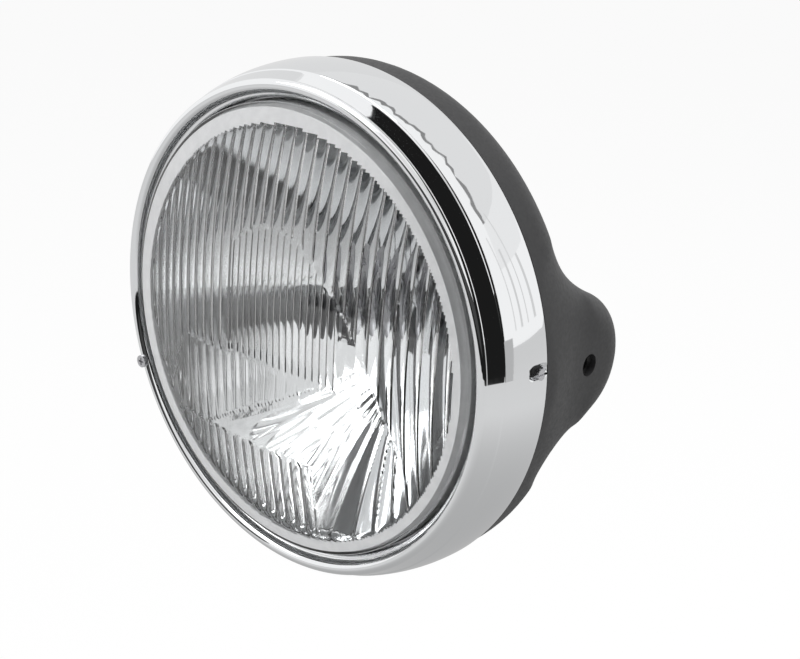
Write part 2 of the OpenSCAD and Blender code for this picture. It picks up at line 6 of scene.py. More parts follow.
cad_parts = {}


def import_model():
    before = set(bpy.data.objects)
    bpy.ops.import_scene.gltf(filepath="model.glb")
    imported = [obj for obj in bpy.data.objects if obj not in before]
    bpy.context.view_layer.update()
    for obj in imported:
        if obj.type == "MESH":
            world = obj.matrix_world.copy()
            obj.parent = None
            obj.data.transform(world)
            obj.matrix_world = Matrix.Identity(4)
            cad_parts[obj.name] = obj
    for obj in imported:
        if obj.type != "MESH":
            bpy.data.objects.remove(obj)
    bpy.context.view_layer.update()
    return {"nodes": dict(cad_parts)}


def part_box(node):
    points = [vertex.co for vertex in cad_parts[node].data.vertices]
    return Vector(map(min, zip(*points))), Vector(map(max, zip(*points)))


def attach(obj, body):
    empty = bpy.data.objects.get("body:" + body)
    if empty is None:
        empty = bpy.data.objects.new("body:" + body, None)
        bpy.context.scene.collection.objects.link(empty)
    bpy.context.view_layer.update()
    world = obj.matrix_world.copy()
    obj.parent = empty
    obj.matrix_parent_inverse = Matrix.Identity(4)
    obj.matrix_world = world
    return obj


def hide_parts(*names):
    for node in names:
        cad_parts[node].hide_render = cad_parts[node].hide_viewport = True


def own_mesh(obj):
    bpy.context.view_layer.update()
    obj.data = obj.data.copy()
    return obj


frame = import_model()
nodes = frame["nodes"]
mm = 0.001
beadPlane = -57.0      # y of the rim's front bead, in mm; depths below are counted back from it
print("frame loaded:", len(nodes), "solids")


# shared helpers

def newMaterial(name):
    mat = bpy.data.materials.new(name)
    mat.use_nodes = True
    tree = mat.node_tree
    return mat, tree, tree.nodes["Principled BSDF"]


def addNode(tree, kind, **values):
    node = tree.nodes.new(kind)
    for key, value in values.items():
        if hasattr(node, key):
            setattr(node, key, value)
        else:
            node.inputs[key.replace("_", " ")].default_value = value
    return node


def objectNoise(tree, scale, detail):
    coord = addNode(tree, "ShaderNodeTexCoord")
    noise = addNode(tree, "ShaderNodeTexNoise", Scale=scale, Detail=detail, Roughness=0.5)
    tree.links.new(coord.outputs["Object"], noise.inputs["Vector"])
    return noise


def spread(tree, source, low, high, start=0.3, end=0.7):
    ramp = addNode(tree, "ShaderNodeMapRange")
    ramp.inputs["From Min"].default_value = start
    ramp.inputs["From Max"].default_value = end
    ramp.inputs["To Min"].default_value = low
    ramp.inputs["To Max"].default_value = high
    tree.links.new(source, ramp.inputs["Value"])
    return ramp.outputs["Result"]


def addBump(tree, bsdf, height, distance, strength):
    bump = addNode(tree, "ShaderNodeBump", Strength=strength, Distance=distance)
    tree.links.new(height, bump.inputs["Height"])
    tree.links.new(bump.outputs["Normal"], bsdf.inputs["Normal"])


def twoColours(tree, bsdf, source, first, second, start=0.35, end=0.65):
    ramp = addNode(tree, "ShaderNodeValToRGB")
    ramp.color_ramp.elements[0].position = start
    ramp.color_ramp.elements[0].color = (*first, 1)
    ramp.color_ramp.elements[1].position = end
    ramp.color_ramp.elements[1].color = (*second, 1)
    tree.links.new(source, ramp.inputs["Fac"])
    tree.links.new(ramp.outputs["Color"], bsdf.inputs["Base Color"])


def makePiece(name, bm, mat, body, replaces=(), sharp=32, recalc=True):
    if recalc:
        bmesh.ops.recalc_face_normals(bm, faces=bm.faces)
    for face in bm.faces:
        face.smooth = True
    for edge in bm.edges:
        if len(edge.link_faces) == 2 and edge.calc_face_angle(0) > radians(sharp):
            edge.smooth = False
    mesh = bpy.data.meshes.new(name)
    bm.to_mesh(mesh)
    bm.free()
    mesh.materials.append(mat)
    obj = bpy.data.objects.new(name, mesh)
    bpy.context.scene.collection.objects.link(obj)
    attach(obj, body)
    if replaces:
        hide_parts(*replaces)
    return obj


def atDepth(radius, depth):
    return Vector((radius * mm, (beadPlane + depth) * mm, 0))


def soften(points, times):      # rounds a profile's corners, for a smooth turned form
    for _ in range(times):
        out = [points[0]]
        for (a, b), (c, d) in zip(points, points[1:]):
            out += [(a * 0.75 + c * 0.25, b * 0.75 + d * 0.25), (a * 0.25 + c * 0.75, b * 0.25 + d * 0.75)]
        points = out + [points[-1]]
    return points


def turnedForm(profile, steps=180, closed=True, bm=None):
    bm = bm or bmesh.new()
    verts = [bm.verts.new(atDepth(r, d)) for r, d in profile]
    pairs = list(zip(verts, verts[1:])) + ([(verts[-1], verts[0])] if closed else [])
    edges = [bm.edges.new(pair) for pair in pairs]
    bmesh.ops.spin(bm, geom=verts + edges, cent=(0, 0, 0), axis=(0, 1, 0), angle=2 * pi, steps=steps,
                   use_merge=True)
    bmesh.ops.remove_doubles(bm, verts=bm.verts, dist=2e-6)
    return bm


def arcPoints(cx, cy, radius, fromAngle, toAngle, count):
    turns = [radians(fromAngle + (toAngle - fromAngle) * i / count) for i in range(count + 1)]
    return [(cx + radius * cos(turn), cy + radius * sin(turn)) for turn in turns]


def bakeModifiers(obj):
    graph = bpy.context.evaluated_depsgraph_get()
    mesh = bpy.data.meshes.new_from_object(obj.evaluated_get(graph))
    obj.modifiers.clear()
    old = obj.data
    obj.data = mesh
    bpy.data.meshes.remove(old)


def looseObject(name, bm):
    mesh = bpy.data.meshes.new(name)
    bm.to_mesh(mesh)
    bm.free()
    obj = bpy.data.objects.new(name, mesh)
    bpy.context.scene.collection.objects.link(obj)
    return obj


def addRod(bm, radius, length, segments, turn):      # for drilling a hole
    bmesh.ops.create_cone(bm, cap_ends=True, segments=segments, radius1=radius * mm, radius2=radius * mm,
                          depth=length * mm, matrix=turn)


def drilled(obj, cut):      # takes the rods out of an object, and gives back its mesh
    cutter = looseObject("cutter", cut)
    drill = obj.modifiers.new("drill", "BOOLEAN")
    drill.operation = "DIFFERENCE"
    drill.object = cutter
    drill.solver = "MANIFOLD"
    bakeModifiers(obj)
    bpy.data.objects.remove(cutter)
    bm = bmesh.new()
    bm.from_mesh(obj.data)
    bpy.data.objects.remove(obj)
    return bm


# materials

glassIor = 1.52


def chromeFinish():
    mat, tree, bsdf = newMaterial("polishedChrome")
    bsdf.inputs["Base Color"].default_value = (0.86, 0.87, 0.88, 1)
    bsdf.inputs["Metallic"].default_value = 1.0
    haze = objectNoise(tree, 60, 4)
    tree.links.new(spread(tree, haze.outputs["Fac"], 0.015, 0.06), bsdf.inputs["Roughness"])
    ripple = objectNoise(tree, 26, 2)
    addBump(tree, bsdf, ripple.outputs["Fac"], 0.00006, 0.5)
    return mat


def mirrorFinish():
    mat, tree, bsdf = newMaterial("aluminisedMirror")
    bsdf.inputs["Base Color"].default_value = (0.9, 0.91, 0.92, 1)
    bsdf.inputs["Metallic"].default_value = 1.0
    haze = objectNoise(tree, 90, 4)
    tree.links.new(spread(tree, haze.outputs["Fac"], 0.03, 0.09), bsdf.inputs["Roughness"])
    ripple = objectNoise(tree, 18, 2)
    addBump(tree, bsdf, ripple.outputs["Fac"], 0.00015, 0.6)
    return mat


def shellFinish():
    mat, tree, bsdf = newMaterial("satinPlastic")
    tone = objectNoise(tree, 14, 3)
    twoColours(tree, bsdf, tone.outputs["Fac"], (0.026, 0.026, 0.027), (0.033, 0.033, 0.034))
    bsdf.inputs["Specular IOR Level"].default_value = 0.35
    fleck = objectNoise(tree, 700, 4)
    tree.links.new(spread(tree, fleck.outputs["Fac"], 0.42, 0.54), bsdf.inputs["Roughness"])
    addBump(tree, bsdf, fleck.outputs["Fac"], 0.00004, 0.35)
    return mat


def glassFinish(name, roughness, colour):
    mat, tree, bsdf = newMaterial(name)
    bsdf.inputs["Base Color"].default_value = (*colour, 1)
    bsdf.inputs["Transmission Weight"].default_value = 1.0
    bsdf.inputs["IOR"].default_value = glassIor
    film = objectNoise(tree, 40, 4)
    tree.links.new(spread(tree, film.outputs["Fac"], roughness * 0.4, roughness), bsdf.inputs["Roughness"])
    return mat


def frostedFinish():
    mat, tree, bsdf = newMaterial("frostedGlass")
    bsdf.inputs["Transmission Weight"].default_value = 0.12
    bsdf.inputs["IOR"].default_value = glassIor
    bsdf.inputs["Coat Weight"].default_value = 1.0
    bsdf.inputs["Coat Roughness"].default_value = 0.03
    grain = objectNoise(tree, 260, 5)
    twoColours(tree, bsdf, grain.outputs["Fac"], (0.86, 0.87, 0.88), (0.93, 0.94, 0.95))
    tree.links.new(spread(tree, grain.outputs["Fac"], 0.4, 0.6), bsdf.inputs["Roughness"])
    addBump(tree, bsdf, grain.outputs["Fac"], 0.00005, 0.5)
    return mat


def metalFinish(name, colour, roughness, grain):
    mat, tree, bsdf = newMaterial(name)
    bsdf.inputs["Metallic"].default_value = 1.0
    tone = objectNoise(tree, grain, 4)
    twoColours(tree, bsdf, tone.outputs["Fac"], [c * 0.9 for c in colour], colour)
    gloss = spread(tree, tone.outputs["Fac"], roughness * 0.8, roughness * 1.25)
    tree.links.new(gloss, bsdf.inputs["Roughness"])
    addBump(tree, bsdf, tone.outputs["Fac"], 0.00003, 0.4)
    return mat


def dullFinish(name, colour, roughness, grain, depth):
    mat, tree, bsdf = newMaterial(name)
    tone = objectNoise(tree, grain, 5)
    twoColours(tree, bsdf, tone.outputs["Fac"], [c * 0.8 for c in colour], colour)
    gloss = spread(tree, tone.outputs["Fac"], roughness - 0.08, roughness + 0.08)
    tree.links.new(gloss, bsdf.inputs["Roughness"])
    addBump(tree, bsdf, tone.outputs["Fac"], depth, 0.5)
    return mat


finish = dict(
    chrome=chromeFinish(),
    mirror=mirrorFinish(),
    shell=shellFinish(),
    lens=glassFinish("lensGlass", 0.02, (0.985, 0.99, 0.99)),
    frosted=frostedFinish(),
    bulbGlass=glassFinish("bulbGlass", 0.015, (0.99, 0.99, 0.99)),
    zinc=metalFinish("zincSteel", (0.62, 0.62, 0.64), 0.3, 240),
    brass=metalFinish("machinedBrass", (0.72, 0.58, 0.32), 0.28, 200),
    blackSteel=dullFinish("blackEnamel", (0.03, 0.03, 0.032), 0.4, 300, 0.00003),
    # painted shade: near-black colour for the deep middle of the rim's screw recesses
    pocket=dullFinish("paintedRecessShade", (0.012, 0.012, 0.012), 0.55, 300, 0.00003),
    # blackened threads, given a colour darker than black enamel as painted shade inside the bore
    threadsAndBoreShade=dullFinish("blackThreadsBoreShade", (0.008, 0.008, 0.008), 0.5, 300, 0.00002),
    rubber=dullFinish("mouldedRubber", (0.022, 0.022, 0.022), 0.62, 420, 0.00006),
    nylon=dullFinish("nylon", (0.75, 0.73, 0.68), 0.45, 260, 0.00003),
    bulbTip=dullFinish("heatproofPaint", (0.05, 0.05, 0.055), 0.42, 500, 0.00003),
)
nodeFinish = dict(
    mount_insert_right="blackSteel", mount_insert_left="blackSteel", rim_screws="zinc", rim_clip_nuts="zinc",
    pivot_pin_top="zinc", pivot_pin_bottom="zinc", harness_grommet="rubber", adjuster_screw="zinc",
    adjuster_spring="zinc", adjuster_nut="nylon", lens_seal="rubber", carrier_ring="blackSteel",
    clamp_ring="zinc", clamp_screws="zinc", bulb_base="zinc", bulb_filaments="zinc", bulb_terminals="brass",
    bulb_clip="zinc", bulb_boot="rubber", pilot_holder="rubber", lens="lens", reflector="mirror",
    rim="chrome", shell="shell", bulb_glass="bulbGlass", pilot_bulb="bulbGlass")
for nodeName, key in nodeFinish.items():
    mesh = nodes[nodeName].data
    mesh.materials.clear()
    mesh.materials.append(finish[key])
print("finishes on", len(nodeFinish), "solids")


# rim: one turned chrome sheet, with a pressed recess at each side for its screw, whose deep middle carries painted
# shade in near-black

rimSizes = dict(beadRadius=2.4, beadMid=91.8, beadMidDepth=0.3, bandStart=5.8, bandFoot=96.7, bandCurve=2.1,
                rearRadius=99.7, depth=25.3, hem=1.2, sheet=1.0, lipRadius=87.2,
                flank=((96.25, 5.35), (96.05, 4.9), (95.0, 2.2), (93.98, -0.5)),
                innerFlank=((95.0, 2.6), (96.05, 5.4)),
                dentAngle=4.8, dentStart=18.3, dentEnd=22.6, dentPress=1.9, dentHalfWidth=1.5, dentEdge=1.3,
                dentShadeFrom=0.55, dentSpan=4.6, dentCuts=5, pressFrom=14, pressOutside=90, steps=240)


def makeRim(s):
    def bandRadius(d):
        share = min(max((d - s["bandStart"]) / (s["depth"] - s["bandStart"]), 0), 1)
        return s["bandFoot"] + (s["rearRadius"] - s["bandFoot"]) * (1 - (1 - share) ** s["bandCurve"])

    span = s["depth"] - s["hem"] - s["bandStart"]
    b, m = s["beadRadius"], s["beadMid"]
    outer = [(s["rearRadius"] - 0.5, s["depth"]), (s["rearRadius"] - 0.1, s["depth"] - 0.35)]
    outer += [(bandRadius(d), d) for d in [s["depth"] - s["hem"] - span * i / 24 for i in range(25)]]
    outer += soften([(bandRadius(s["bandStart"]), s["bandStart"] - 0.05), *s["flank"]], 2)[1:]
    outer += arcPoints(m, s["beadMidDepth"], b, -26, -180, 24)
    outer += soften([(m - b, 0.6), (m - b, 1.2), (m - b - 0.6, 1.9), (s["lipRadius"] + 0.7, 2.1),
                     (s["lipRadius"], 2.6), (s["lipRadius"], 3.2)], 2)
    t = s["sheet"]
    inner = [(s["lipRadius"] + t, 3.2), (s["lipRadius"] + t, 2.9), (m - b + t - 0.7, 2.7), (m - b + t, 1.5)]
    inner += arcPoints(m, s["beadMidDepth"], b - t, -180, -20, 14)
    inner += [(r - t, d) for r, d in s["innerFlank"]]
    inner += [(bandRadius(d) - t, d) for d in [s["bandStart"] + 0.6 + (span - 0.6) * i / 16 for i in range(17)]]
    inner += [(s["rearRadius"] - 0.5 - t, s["depth"])]
    bm = turnedForm(outer + inner, s["steps"])
    columns = []      # made finer round the two recesses
    for edge in bm.edges:
        a, b = (degrees(atan2(v.co.z, v.co.x)) for v in edge.verts)
        nearest = min(abs((a + b) / 2 - s["dentAngle"]), abs((a + b) / 2 - 180 + s["dentAngle"]))
        if 0.5 < abs(a - b) < 3 and nearest < s["dentSpan"]:
            columns.append(edge)
    bmesh.ops.subdivide_edges(bm, edges=columns, cuts=s["dentCuts"], use_grid_fill=True)
    # painted shade: verts deep in each recess; faces made only of them get the near-black colour
    pressed = set()
    for vert in bm.verts:
        depth = vert.co.y / mm - beadPlane
        radius = hypot(vert.co.x, vert.co.z) / mm
        if depth < s["pressFrom"] or radius < s["pressOutside"]:
            continue
        for angle in (s["dentAngle"], 180 - s["dentAngle"]):
            turn = (degrees(atan2(vert.co.z, vert.co.x)) - angle + 180) % 360 - 180
            across = abs(radians(turn)) * radius
            along = max(s["dentStart"] - depth, depth - s["dentEnd"], 0)
            away = hypot(across, along) - s["dentHalfWidth"]
            if away < s["dentEdge"]:
                k = 1 - max(away, 0) / s["dentEdge"]
                k = k * k * (3 - 2 * k)
                if k > s["dentShadeFrom"] and depth > s["dentStart"] - 0.5:
                    pressed.add(vert)
                press = s["dentPress"] * k * (1 if radius > bandRadius(min(depth, 24)) - 0.5 else 0.5)
                vert.co.x *= (radius - press) / radius
                vert.co.z *= (radius - press) / radius
    for face in bm.faces:
        face.material_index = 1 if all(v in pressed for v in face.verts) else 0
    rim = makePiece("chromeRim", bm, finish["chrome"], "housing", ["rim"], sharp=40)
    # second colour of the rim: painted shade in the recesses
    rim.data.materials.append(finish["pocket"])


makeRim(rimSizes)
print("rim turned")


# shell: bowl and side bosses melted into one skin, then hollowed and drilled

shellSizes = dict(radius=99.0, wall=2.4, step=26.1, back=114.0, shoulderDepth=35.0, shoulder=14.0, slope=41,
                  backSlope=49, backRound=26.0, voxel=1.35, smoothTimes=4, filletTimes=115, filletRings=11,
                  crease=-0.12, flangeRadius=97.9, flangeStart=19.0, flangeWall=1.6, boltRadius=4.2, boltMiddle=86,
                  boltCut=26, inletRadius=11.0, inletCut=20)
bossSizes = dict(face=95.5, radius=25.4, edge=11.5, reach=22.0, widen=10.6, slant=2.4, flare=1.6, rootEdge=8.5,
                 root=40)


def bowlProfile(s):
    crest = (s["radius"] - s["shoulder"], s["shoulderDepth"])
    a, b = radians(s["slope"]), radians(s["backSlope"])
    reach = s["back"] - s["shoulderDepth"] - s["shoulder"] * sin(a) - s["backRound"] * (1 - sin(b))
    longRadius = reach / (sin(b) - sin(a))
    hub = (crest[0] + (s["shoulder"] - longRadius) * cos(a), crest[1] + (s["shoulder"] - longRadius) * sin(a))
    tail = (hub[0] + (longRadius - s["backRound"]) * cos(b), hub[1] + (longRadius - s["backRound"]) * sin(b))
    return (arcPoints(crest[0], crest[1], s["shoulder"], 0, s["slope"], 10)
            + arcPoints(hub[0], hub[1], longRadius, s["slope"], s["backSlope"], 10)[1:]
            + arcPoints(tail[0], tail[1], s["backRound"], s["backSlope"], 90, 10)[1:])


def addBoss(bm, s, side):
    verts = []
    pucks = [(s["face"], 0, 0, s["radius"], s["edge"])]
    pucks += [(s["face"] - s["slant"], -s["reach"], up * s["widen"], s["radius"] + s["flare"], s["rootEdge"])
              for up in (-1, 1)]
    for top, y, z, radius, edge in pucks:
        rings = [(radius, s["root"])] + arcPoints(radius - edge, top - edge, edge, 0, 90, 8)
        for ringRadius, x in rings:
            turn = Matrix.Translation((side * x * mm, y * mm, z * mm)) @ Matrix.Rotation(pi / 2, 4, "Y")
            made = bmesh.ops.create_circle(bm, segments=72, radius=max(ringRadius, 0.01) * mm, matrix=turn)
            verts += made["verts"]
    bmesh.ops.convex_hull(bm, input=verts)
    loose = [v for v in verts if v.is_valid and not v.link_faces]
    bmesh.ops.delete(bm, geom=loose, context="VERTS")


def makeShell(s, boss):
    bm = turnedForm([(0, 8), (s["radius"], 8), (s["radius"], 20)] + bowlProfile(s) + [(0, s["back"])],
                    closed=False)
    for side in (-1, 1):
        addBoss(bm, boss, side)
    bmesh.ops.recalc_face_normals(bm, faces=bm.faces)
    skin = looseObject("shellSkin", bm)
    melt = skin.modifiers.new("melt", "REMESH")
    melt.mode = "VOXEL"
    melt.voxel_size = s["voxel"] * mm
    bakeModifiers(skin)
    bm = bmesh.new()
    bm.from_mesh(skin.data)
    bpy.data.objects.remove(skin)
    front = Vector((0, (beadPlane + s["step"]) * mm, 0))
    ring = {v for e in bm.edges if e.is_manifold and e.calc_face_angle_signed() < s["crease"] for v in e.verts}
    for _ in range(s["filletRings"]):
        ring |= {e.other_vert(v) for v in ring for e in v.link_edges}
    for times, verts in ((s["filletTimes"], list(ring)), (s["smoothTimes"], bm.verts)):
        for _ in range(times):
            bmesh.ops.smooth_vert(bm, verts=verts, factor=0.5, use_axis_x=True, use_axis_y=True, use_axis_z=True)
    for vert in bm.verts:
        radius = hypot(vert.co.x, vert.co.z) / mm
        if radius > s["radius"]:
            vert.co.x *= s["radius"] / radius
            vert.co.z *= s["radius"] / radius
    bmesh.ops.bisect_plane(bm, geom=bm.verts[:] + bm.edges[:] + bm.faces[:], plane_co=front, plane_no=(0, 1, 0),
                           clear_inner=True)
    for face in bm.faces:
        face.smooth = True
    skin = looseObject("shellSkin", bm)
    wall = skin.modifiers.new("wall", "SOLIDIFY")
    wall.thickness = s["wall"] * mm
    wall.offset = -1
    bakeModifiers(skin)

    cut = bmesh.new()
    for side in (-1, 1):
        turn = Matrix.Translation((side * s["boltMiddle"] * mm, 0, 0)) @ Matrix.Rotation(side * pi / 2, 4, "Y")
        addRod(cut, s["boltRadius"], s["boltCut"], 64, turn)
    turn = Matrix.Translation((0, (beadPlane + s["back"]) * mm, 0)) @ Matrix.Rotation(pi / 2, 4, "X")
    addRod(cut, s["inletRadius"], s["inletCut"], 96, turn)
    bm = drilled(skin, cut)
    f, w = s["flangeRadius"], s["flangeWall"]
    turnedForm([(f - w, s["flangeStart"]), (f - 0.3, s["flangeStart"]), (f, s["flangeStart"] + 0.3),
                (f, s["step"] + 1.5), (f - w, s["step"] + 1.5)], bm=bm)
    makePiece("shellBody", bm, finish["shell"], "housing", ["shell"], sharp=38, recalc=False)


makeShell(shellSizes, bossSizes)
print("shell moulded")


# threaded inserts in the bosses

insertSizes = dict(outer=7.5, inner=4.0, crest=3.4, start=71.1, end=93.1, pitch=1.25)


def makeInsert(name, s, side, node):
    bm = bmesh.new()
    turns = int((s["end"] - s["start"]) / s["pitch"])
    lead = (s["end"] - s["start"] - turns * s["pitch"]) / 2
    bore = [(s["inner"] + 0.4, s["start"]), (s["inner"], s["start"] + lead / 2 + 0.1)]
    for i in range(turns):
        x = s["start"] + lead + i * s["pitch"]
        bore += [(s["inner"], x + 0.1), (s["crest"], x + s["pitch"] * 0.45), (s["crest"], x + s["pitch"] * 0.6)]
    bore += [(s["inner"], s["end"] - 0.4), (s["inner"] + 0.4, s["end"])]
    ring = bore + [(s["outer"] - 0.3, s["end"]), (s["outer"], s["end"] - 0.3), (s["outer"], s["start"] + 0.3),
                   (s["outer"] - 0.3, s["start"])]
    verts = [bm.verts.new((side * x * mm, 0, r * mm)) for r, x in ring]
    edges = [bm.edges.new(pair) for pair in zip(verts, verts[1:] + verts[:1])]
    bmesh.ops.spin(bm, geom=verts + edges, cent=(0, 0, 0), axis=(1, 0, 0), angle=2 * pi, steps=48,
                   use_merge=True)
    bmesh.ops.remove_doubles(bm, verts=bm.verts, dist=2e-6)
    # the threads' near-black colour is partly the steel's own black and partly painted shade of the bore
    makePiece(name, bm, finish["threadsAndBoreShade"], "housing", [node], sharp=20)


makeInsert("boltThreadRight", insertSizes, 1, "mount_insert_right")
makeInsert("boltThreadLeft", insertSizes, -1, "mount_insert_left")
print("inserts threaded")


# lens: domed glass, smooth in front, with flutes and small blocks moulded on its back

lensSizes = dict(crown=13.0, glass=4.6, gridRadius=84.2, frostFrom=78.8, bodyRadius=86.0, flangeRadius=89.0,
                 flangeFront=7.7, flangeBack=10.7, column=0.65, row=1.0, field=78.3, fieldShift=2.6)
fluteSizes = dict(broad=5.2, broadHeight=0.75, broadFrom=42, fine=3.25, fineHeight=0.34, fineFrom=-10, faint=5.2,
                  faintHeight=0.16, block=7.8, blockTall=11.5, blockHeight=1.1, blockLedge=0.5, blockLeft=34,
                  blockTop=21, blockFoot=9.5, leftField=-21, fanAt=(63.0, 9.0), fanStep=6.0, fanHeight=0.7,
                  fanTurn=62, lowHeight=0.6, lowTop=-46, lowRight=20, fade=1.1)


def domeDepth(radius, crown):
    return -crown + 0.0012 * radius ** 2 + 4.5e-8 * radius ** 4


def ridge(value, pitch):     # 0 in the valleys and 1 on the crests of round flutes
    u = value / pitch - floor(value / pitch)
    return 1 - (2 * u - 1) ** 2


def pillow(value, pitch):    # the same with flat crests and steep valleys
    return 1 - (2 * (value / pitch - floor(value / pitch)) - 1) ** 4


def fluteHeight(x, z, s, field):
    radius = hypot(x - lensSizes["fieldShift"], z)
    if radius > field + 2:
        return 0.0
    sideField = (x > s["blockLeft"] and z > s["blockTop"]) or (x < s["leftField"] and z > s["fineFrom"])
    if z > s["broadFrom"] - 0.02 * x * x or sideField:
        height = s["broadHeight"] * ridge(x, s["broad"])
        scallop = field + 1.2 * ridge(x, s["broad"]) - 1.0
    elif z > s["fineFrom"] - 0.02 * x and x < s["blockLeft"]:
        height = s["fineHeight"] * ridge(x, s["fine"])
        scallop = field
    elif x >= s["blockLeft"] and z > s["blockFoot"]:
        height = (s["blockLedge"]
                  + s["blockHeight"] * pillow(x, s["block"]) * pillow(z - s["blockFoot"], s["blockTall"]))
        scallop = field
    else:
        fx, fz = s["fanAt"]
        turn = degrees(atan2(fx - x, fz - z))       # 0 straight down from the fan's middle, growing to the left
        reach = hypot(fx - x, fz - z)
        if z < s["lowTop"] and x < s["lowRight"]:
            height = s["lowHeight"] * ridge(x, s["broad"])
        elif x > fx:
            height = s["fanHeight"] * ridge(x - fx, s["broad"])
        elif turn < s["fanTurn"] and reach > 6:
            height = s["fanHeight"] * min(reach / 40, 1) * ridge(turn, s["fanStep"])
        else:
            height = s["faintHeight"] * ridge(x, s["faint"])
        scallop = field
    fade = min(max((scallop - radius) / s["fade"], 0), 1)
    return height * fade * fade * (3 - 2 * fade)


def makeLens(s, flute):
    bm = bmesh.new()
    half = s["gridRadius"] + 2
    columns, rows = 2 * round(half / s["column"]), 2 * round(half / s["row"])
    bmesh.ops.create_grid(bm, x_segments=columns, y_segments=rows, size=1,
                          matrix=Matrix.Rotation(pi / 2, 4, "X"))
    bmesh.ops.scale(bm, verts=bm.verts, vec=(columns * s["column"] / 2 * mm, 1, rows * s["row"] / 2 * mm))
    edge = (s["gridRadius"] - 0.45) * mm
    bmesh.ops.delete(bm, geom=[f for f in bm.faces if f.calc_center_median().length > edge], context="FACES")

    def roundRim(verts):
        for v in verts:
            grow = s["gridRadius"] * mm / hypot(v.co.x, v.co.z)
            v.co.x *= grow
            v.co.z *= grow

    rimEdges = [e for e in bm.edges if e.is_boundary]
    roundRim({v for e in rimEdges for v in e.verts})
    copied = bmesh.ops.duplicate(bm, geom=bm.verts[:] + bm.edges[:] + bm.faces[:])["geom"]
    frontVerts = {g for g in copied if isinstance(g, bmesh.types.BMVert)}
    for v in bm.verts:
        x, z = v.co.x / mm, v.co.z / mm
        depth = domeDepth(hypot(x, z), s["crown"])
        if v not in frontVerts:
            depth += s["glass"] + fluteHeight(x, z, flute, s["field"])
        v.co.y = (beadPlane + depth) * mm
    loop = [g for g in copied if isinstance(g, bmesh.types.BMEdge) and g.is_boundary]
    rings = [(84.6, domeDepth(84.6, s["crown"])), (85.5, domeDepth(85.5, s["crown"]) + 0.15),
             (85.9, domeDepth(85.9, s["crown"]) + 0.7), (s["bodyRadius"], 0.2), (s["bodyRadius"], s["flangeFront"]),
             (s["flangeRadius"], s["flangeFront"]), (s["flangeRadius"], s["flangeBack"]),
             (s["gridRadius"], s["flangeBack"]),
             (s["gridRadius"], domeDepth(s["gridRadius"], s["crown"]) + s["glass"])]
    for radius, depth in rings:
        made = bmesh.ops.extrude_edge_only(bm, edges=loop)["geom"]
        for v in [g for g in made if isinstance(g, bmesh.types.BMVert)]:
            grow = radius * mm / hypot(v.co.x, v.co.z)
            v.co = Vector((v.co.x * grow, (beadPlane + depth) * mm, v.co.z * grow))
        loop = [g for g in made if isinstance(g, bmesh.types.BMEdge)]
    bmesh.ops.remove_doubles(bm, verts=bm.verts, dist=1e-5)
    margin = bm.faces.layers.int.new("margin")
    for face in bm.faces:
        middle = face.calc_center_median()
        radius = hypot(middle.x - s["fieldShift"] * mm, middle.z) / mm
        face[margin] = radius > s["frostFrom"] and hypot(middle.x, middle.z) / mm < s["gridRadius"]
    lens = makePiece("flutedLens", bm, finish["lens"], "light_unit", ["lens"], sharp=30)
    lens.data.materials.append(finish["frosted"])
    flags = lens.data.attributes["margin"].data
    for face in lens.data.polygons:
        face.material_index = flags[face.index].value
    lens.data.attributes.remove(lens.data.attributes["margin"])


makeLens(lensSizes, fluteSizes)
print("lens pressed")


# reflector: parabolic mirror with the bulb's neck and the pilot lamp's tube

mirrorSizes = dict(focal=27.0, radius=81.0, seat=11.5, neck=19.0, sheet=1.0, flange=89.0, neckWall=1.5,
                   neckEnd=3.0, pilotDrop=45.0, pilotRadius=6.5, tubeWall=1.5, tubeStart=2.5, tubeEnd=9,
                   pilotCut=40, steps=240)
mirrorVertex = mirrorSizes["seat"] + mirrorSizes["sheet"] + mirrorSizes["radius"] ** 2 / (4 * mirrorSizes["focal"])
bulbSeat = mirrorVertex + mirrorSizes["neckEnd"]


def mirrorDepth(radius):
    return mirrorVertex - radius ** 2 / (4 * mirrorSizes["focal"])


def makeReflector(s):
    t = s["sheet"]
    inside = [(s["radius"] + (s["neck"] - s["radius"]) * i / 48, 0) for i in range(49)]
    inside = [(r, mirrorDepth(r)) for r, _ in inside]
    outside = [(r + 0.6 * t, d + t) for r, d in reversed(inside[::2])]
    profile = ([(s["flange"], s["seat"]), (s["radius"] + 0.5, s["seat"]), (s["radius"], s["seat"] + 0.4)] + inside
               + [(s["neck"], bulbSeat), (s["neck"] + s["neckWall"], bulbSeat),
                  (s["neck"] + s["neckWall"], mirrorDepth(s["neck"]) + 1.6)]
               + outside + [(s["radius"] + 0.6, s["seat"] + t), (s["flange"], s["seat"] + t)])
    bm = turnedForm(profile, s["steps"])
    bmesh.ops.recalc_face_normals(bm, faces=bm.faces)
    dish = looseObject("dish", bm)
    cut = bmesh.new()
    pilotAt = mirrorDepth(s["pilotDrop"])
    turn = Matrix.Translation((0, (beadPlane + pilotAt) * mm, -s["pilotDrop"] * mm)) @ Matrix.Rotation(pi / 2, 4, "X")
    addRod(cut, s["pilotRadius"], s["pilotCut"], 64, turn)
    bm = drilled(dish, cut)
    makePiece("mirrorDish", bm, finish["mirror"], "light_unit", ["reflector"], sharp=30, recalc=False)

    tube = bmesh.new()      # short tube that holds the pilot lamp
    inner, outer = s["pilotRadius"], s["pilotRadius"] + s["tubeWall"]
    start, end = pilotAt + s["tubeStart"], pilotAt + s["tubeEnd"]
    turnedForm([(inner, start), (outer, start), (outer, end), (inner, end)], 64, bm=tube)
    bmesh.ops.translate(tube, verts=tube.verts, vec=(0, 0, -s["pilotDrop"] * mm))
    makePiece("pilotTube", tube, finish["mirror"], "light_unit")


makeReflector(mirrorSizes)
print("reflector spun")


# main bulb with its painted tip, and the pilot bulb

bulbSizes = dict(radius=8.5, length=56.0, wall=1.0, foot=7.0, tipLength=11.0, paint=0.12, pilotRadius=4.5,
                 pilotReach=12.0, pilotFoot=7, pilotWall=0.6)


